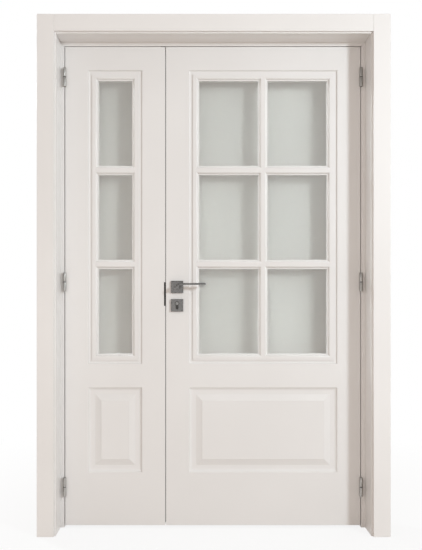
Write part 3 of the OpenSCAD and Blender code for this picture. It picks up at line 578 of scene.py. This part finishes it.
card_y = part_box("jamb_head")[1].y
across, up = np.meshgrid(np.linspace(-CARD_HALF, CARD_HALF, CARD_POINTS),
                         np.linspace(CARD_FOOT, CARD_TOP, CARD_POINTS))
card = surface_object("pale_card", np.stack([across, np.full_like(across, card_y), up], axis=-1),
                      [grid_faces(CARD_POINTS, CARD_POINTS)], card_material(), smooth=True)
card.visible_camera = card.visible_diffuse = card.visible_glossy = card.visible_shadow = False
print("card at", round(card_y, 3))

# %% [markdown]
# ## Finishes on the frame's pieces
# The record names a finish for every piece, and each piece's material slot is filled with the finish
# made above. Leaves and frame are sprayed apart, so they get a lacquer each. The lock cylinder is
# brass under nickel, bright on the two plugs; the dark nickel of its body is painted shade round the
# plug.

# %% Assign finishes
FINISHES = {"lacquer": frame_lacquer, "satin_glass": satin_glass, "seal": dark_rubber_and_shade,
            "nylon": dark_nylon_and_shade, "steel": satin_nickel, "brass": lock_brass,
            "dark_metal": black_strike, "satin_chrome": satin_chrome}
PLATED = {"cylinder_body": nickel_painted_shade, "front_plug": nickel_plate, "rear_plug": nickel_plate}
LEAF_BODIES = ("active_leaf", "inactive_leaf")
leaf_nodes = [node for body in LEAF_BODIES for node in frame["record"]["behaviour"]["bodies"][body]]
for name, node in frame["nodes"].items():
    for holder in node.material_slots:
        slot = holder.material.name.split(".")[0]
        sprayed_leaf = slot == "lacquer" and name in leaf_nodes
        holder.material = leaf_lacquer if sprayed_leaf else PLATED.get(name, FINISHES[slot])
print("dressed", len(frame["nodes"]), "pieces")

# %% [markdown]
# ## Soft arrises
# No board is left with a knife edge: lacquer would not hold there. Sanding takes up to a millimetre
# off, and that narrow round catches the light along the leaves. Plates of hinges and lock are broken
# by a few tenths, and what the hand meets, the lever and the plates under it, by two millimetres or
# more. The frame's meshes come as loose triangles, so a Weld modifier joins them first, a Decimate
# modifier makes whole faces of them, and a Bevel then rounds what is sharp. All stay live, which
# leaves the frame's own meshes as they are. The bevel also keeps each flat face flat in its shading,
# so even the shallow slopes round the panels read as planes.

# %% Round the edges
JOIN_REACH = 0.00001
FLAT_ANGLE, SHARP_ANGLE = np.radians(0.5), np.radians(12.0)
ARRIS = {"slab": 0.0007, "lever": 0.0020, "casing": 0.0010, "lining": 0.0006, "jamb": 0.0006,
         "stop": 0.0006, "rosette": 0.0025, "escutcheon": 0.0025, "beads": 0.0004, "bars": 0.0004,
         "halves": 0.0003, "strike_plate": 0.0003, "face_plate": 0.0002}


def soften(node, width, segments=2):
    """Joins points closer than JOIN_REACH and faces flatter than FLAT_ANGLE, then rounds every edge
    past SHARP_ANGLE by this width. Short edges in the bend of a lever would hold the width back all
    over it, so a lever's bevel isn't clamped."""
    weld = node.modifiers.new("join_triangles", "WELD")
    weld.merge_threshold = JOIN_REACH
    flat = node.modifiers.new("flat_faces", "DECIMATE")
    flat.decimate_type, flat.angle_limit = "DISSOLVE", FLAT_ANGLE
    bevel = node.modifiers.new("soft_arris", "BEVEL")
    bevel.width, bevel.segments = width, segments
    bevel.limit_method, bevel.angle_limit = "ANGLE", SHARP_ANGLE
    bevel.harden_normals = True
    bevel.use_clamp_overlap = "lever" not in node.name


for name, node in frame["nodes"].items():
    width = next((size for word, size in ARRIS.items() if word in name and "base" not in name), None)
    if width:
        soften(node, width)
print("softened", sum(len(node.modifiers) > 0 for node in frame["nodes"].values()), "pieces")

# %% [markdown]
# ## Screws
# Hinges, strike, flush bolts and lock face are held by countersunk screws with a cross recess. They
# are far smaller than anything the frame needs to know, so they are made here. One head is a closed
# skin of rings: a shallow dome with the cross pressed into it, a rim, and a cone below. The rings meet
# in a single point at both ends, so nothing stays open.

# %% Points of a screw head
RINGS, COLUMNS = 8, 24
DOME, CONE = 0.13, 0.5
ARM_HALF, ARM_REACH = 0.14, 0.66
CROSS_DEPTH, CROSS_MIDDLE = 1.6, 0.8


def head_points(radius):
    """Points of a countersunk head in its own axes (n up), ring by ring between the middle of the
    cross and the tip of the cone. With DOME, CONE and both ARM sizes in radii, the height falls from
    the dome's with the square of the share of the radius, less CROSS_DEPTH domes in the cross."""
    dome = DOME * radius
    share = np.linspace(0.0, 1.0, RINGS + 1)[1:, None]
    turn = np.linspace(0.0, 2 * np.pi, COLUMNS, endpoint=False)[None, :]
    u, v = radius * share * np.cos(turn), radius * share * np.sin(turn)
    cross = (np.minimum(np.abs(u), np.abs(v)) < ARM_HALF * radius) & (share < ARM_REACH)
    n = dome * (1.0 - share ** 2) - CROSS_DEPTH * dome * cross
    lid = np.stack([u, v, n], axis=-1).reshape(-1, 3)
    return np.vstack([[[0.0, 0.0, -CROSS_MIDDLE * dome]], lid, [[0.0, 0.0, -CONE * radius]]])


print("points in a head", len(head_points(1.0)))

# %% [markdown]
# The faces follow the rings: quads from ring to ring, and a fan of triangles at either end. Rolling the
# numbers of a ring by one place gives the next point of each, and so closes the ring without a seam.

# %% Faces of a screw head
def ring_numbers(rings, columns, first=0):
    """Numbers of the points of closed rings, counted ring by ring from first, and for each point
    the number of the next one in its ring."""
    number = first + np.arange(rings * columns).reshape(rings, columns)
    return number, np.roll(number, -1, axis=1)


def head_faces():
    """Faces of such a skin: quads between rings, then a fan round the first point and one to the
    last."""
    number, after = ring_numbers(RINGS, COLUMNS, first=1)
    quads = np.stack([number[:-1], number[1:], after[1:], after[:-1]], axis=-1).reshape(-1, 4)
    start = np.stack([np.zeros(COLUMNS, int), number[0], after[0]], axis=-1)
    end = np.stack([np.full(COLUMNS, RINGS * COLUMNS + 1), after[-1], number[-1]], axis=-1)
    return quads, np.vstack([start, end])


print("faces in a head", sum(map(len, head_faces())))

# %% [markdown]
# A row of screws is one piece: the same head set down at each place and turned to face out of its
# plate. Turning is a product with three axes, the last of them the way out. The places are taken from
# the frame's own plates, so the screws follow if a plate does.

# %% Rows of screws
OUT_AXES = {"+x": ((0, 1, 0), (0, 0, 1), (1, 0, 0)), "-x": ((0, 0, 1), (0, 1, 0), (-1, 0, 0)),
            "-z": ((0, 1, 0), (1, 0, 0), (0, 0, -1))}


def screw_row(name, places, way, body, radius, finish):
    """Heads of this radius at these places, facing this way and riding on this body."""
    head = head_points(radius) @ np.array(OUT_AXES[way], float)
    points = np.array(places, float)[:, None, :] + head[None, :, :]
    step = len(head) * np.arange(len(places))[:, None, None]
    quads, fans = head_faces()
    faces = [(quads + step).reshape(-1, 4), (fans + step).reshape(-1, 3)]
    piece = surface_object(name, points, faces, finish, smooth=False)
    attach(piece, body)
    return piece


print("ways out", *OUT_AXES)

# %% [markdown]
# Every hinge half is held by three screws set in a triangle, two toward the knuckle and one at the far
# edge. The same nine places serve both halves on both sides, and only X and the way out change.

# %% Hinge screws
HINGE_HALF, HINGE_COUNT, HINGE_SCREW = 0.040, 3, 0.0034
HINGE_PATTERN = ((0.020, -0.028), (0.008, 0.0), (0.020, 0.028))
active_low, active_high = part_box("active_slab")
inactive_low, inactive_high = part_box("inactive_slab")
halves_low, halves_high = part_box("left_hinge_frame_halves")
middles = np.linspace(halves_low.z + HINGE_HALF, halves_high.z - HINGE_HALF, HINGE_COUNT)
hinge_places = [(halves_high.y - inset, middle + rise)
                for middle in middles for inset, rise in HINGE_PATTERN]
HINGE_ROWS = (("left_hinge_jamb_screws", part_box("jamb_left")[1].x, "+x", "frame"),
              ("left_hinge_leaf_screws", inactive_low.x, "-x", "inactive_leaf"),
              ("right_hinge_jamb_screws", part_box("jamb_right")[0].x, "-x", "frame"),
              ("right_hinge_leaf_screws", active_high.x, "+x", "active_leaf"))
for name, x, way, body in HINGE_ROWS:
    places = [(x, *place) for place in hinge_places]
    screw_row(name, places, way, body, HINGE_SCREW, satin_nickel)
print("hinge screws", len(HINGE_ROWS) * len(hinge_places))

# %% [markdown]
# The lock's face plate has a screw near each end, and one just under the cylinder's cam that holds the
# cylinder. The strike has two, blackened like itself, above and below its openings.

# %% Lock and strike screws
LOCK_SCREW, LOCK_END, UNDER_CAM = 0.0041, 0.010, 0.005
STRIKE_SCREW, STRIKE_INSET, STRIKE_FOOT, STRIKE_TOP = 0.0034, 0.015, 0.014, 0.005
plate_low, plate_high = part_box("lock_face_plate")
cam_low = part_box("cylinder_cam")[0]
strike_low, strike_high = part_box("strike_plate")
leaf_middle = (inactive_low.y + inactive_high.y) / 2
lock_heights = (plate_high.z - LOCK_END, cam_low.z - UNDER_CAM, plate_low.z + LOCK_END)
screw_row("lock_face_screws", [(active_low.x, leaf_middle, z) for z in lock_heights],
          "-x", "active_leaf", LOCK_SCREW, satin_nickel)
strike_heights = (strike_low.z + STRIKE_FOOT, strike_high.z - STRIKE_TOP)
screw_row("strike_screws", [(inactive_high.x, strike_high.y - STRIKE_INSET, z) for z in strike_heights],
          "+x", "inactive_leaf", STRIKE_SCREW, black_strike)
print("lock screws", len(lock_heights), "strike screws", len(strike_heights))

# %% [markdown]
# Each flush bolt has a screw at both ends of its case. The keep in the head takes two from below, one
# in front of the bolt's hole and one behind it.

# %% Flush bolt and keep screws
BOLT_SCREW, BOLT_OUTER, BOLT_INNER = 0.0032, 0.010, 0.008
KEEP_SCREW, KEEP_END = 0.0030, 0.005
upper_low, upper_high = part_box("upper_bolt_case")
lower_low, lower_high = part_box("lower_bolt_case")
keep_low, keep_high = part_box("head_keep")
bolt_heights = (upper_high.z - BOLT_OUTER, upper_low.z + BOLT_INNER,
                lower_high.z - BOLT_INNER, lower_low.z + BOLT_OUTER)
screw_row("flush_bolt_screws", [(inactive_high.x, leaf_middle, z) for z in bolt_heights],
          "+x", "inactive_leaf", BOLT_SCREW, satin_nickel)
keep_x, keep_ends = (keep_low.x + keep_high.x) / 2, (keep_low.y + KEEP_END, keep_high.y - KEEP_END)
screw_row("head_keep_screws", [(keep_x, y, keep_low.z) for y in keep_ends],
          "-z", "frame", KEEP_SCREW, satin_nickel)
print("bolt screws", len(bolt_heights), "keep screws", len(keep_ends))

# %% [markdown]
# ## Pile brush
# Between the two leaves the picture shows a dark line and no light. A pair of square meeting edges is
# closed by a pile brush: a strip of short fibres in one edge that the other sweeps past. It is a
# narrow profile drawn down the whole edge, and its fibres are the metals' hair lines run crosswise.

# %% Brush pile
PILE_STRETCH, PILE_ROUGH = (300.0, 3500.0, 3500.0), (0.75, 0.95)
# The near-black pile is partly its own dark fibre and partly painted shade for the dark line between
# the leaves.
pile_inputs = {"Light tint": (0.030, 0.028, 0.026, 1.0), "Shaded tint": (0.014, 0.013, 0.012, 1.0),
               "Stretch": PILE_STRETCH, "Rough low": PILE_ROUGH[0], "Rough high": PILE_ROUGH[1]}
dark_pile_and_shade = finished("dark_pile_and_shade", HAIR_LINES, pile_inputs, bump_strength=0.6, bump_depth=0.0003)[0]
print("pile", dark_pile_and_shade.name)

# %% [markdown]
# The brush itself is the profile repeated at many levels, with quads round it from level to level and
# one flat face at each end. Flat shading is enough for a strip that is three millimetres wide.

# %% Meeting brush
BRUSH_REACH, BRUSH_WIDTH, BRUSH_INSET = 0.0021, 0.0030, 0.0045
BRUSH_END, BRUSH_LEVELS, TIP_POINTS = 0.002, 41, 9


def brush_profile(root, reach, middle, width):
    """Section of the brush (x, y): square at the root, rounded at the tip by a half circle."""
    half = width / 2
    bend = np.linspace(-np.pi / 2, np.pi / 2, TIP_POINTS)
    tip = np.stack([root + reach - half + half * np.cos(bend), middle + half * np.sin(bend)], axis=-1)
    return np.vstack([[[root, middle - half]], tip, [[root, middle + half]]])


section = brush_profile(inactive_high.x, BRUSH_REACH, inactive_high.y - BRUSH_INSET, BRUSH_WIDTH)
levels = np.linspace(inactive_low.z + BRUSH_END, inactive_high.z - BRUSH_END, BRUSH_LEVELS)
rows = np.concatenate([np.repeat(section[None], len(levels), 0),
                       np.repeat(levels[:, None, None], len(section), 1)], axis=-1)
number, after = ring_numbers(len(levels), len(section))
sides = np.stack([number[:-1], after[:-1], after[1:], number[1:]], axis=-1).reshape(-1, 4)
brush = surface_object("meeting_brush", rows, [sides, number[:1, ::-1], number[-1:]], dark_pile_and_shade,
                       smooth=False)
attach(brush, "inactive_leaf")
print("brush", [round(size, 4) for size in brush.dimensions])
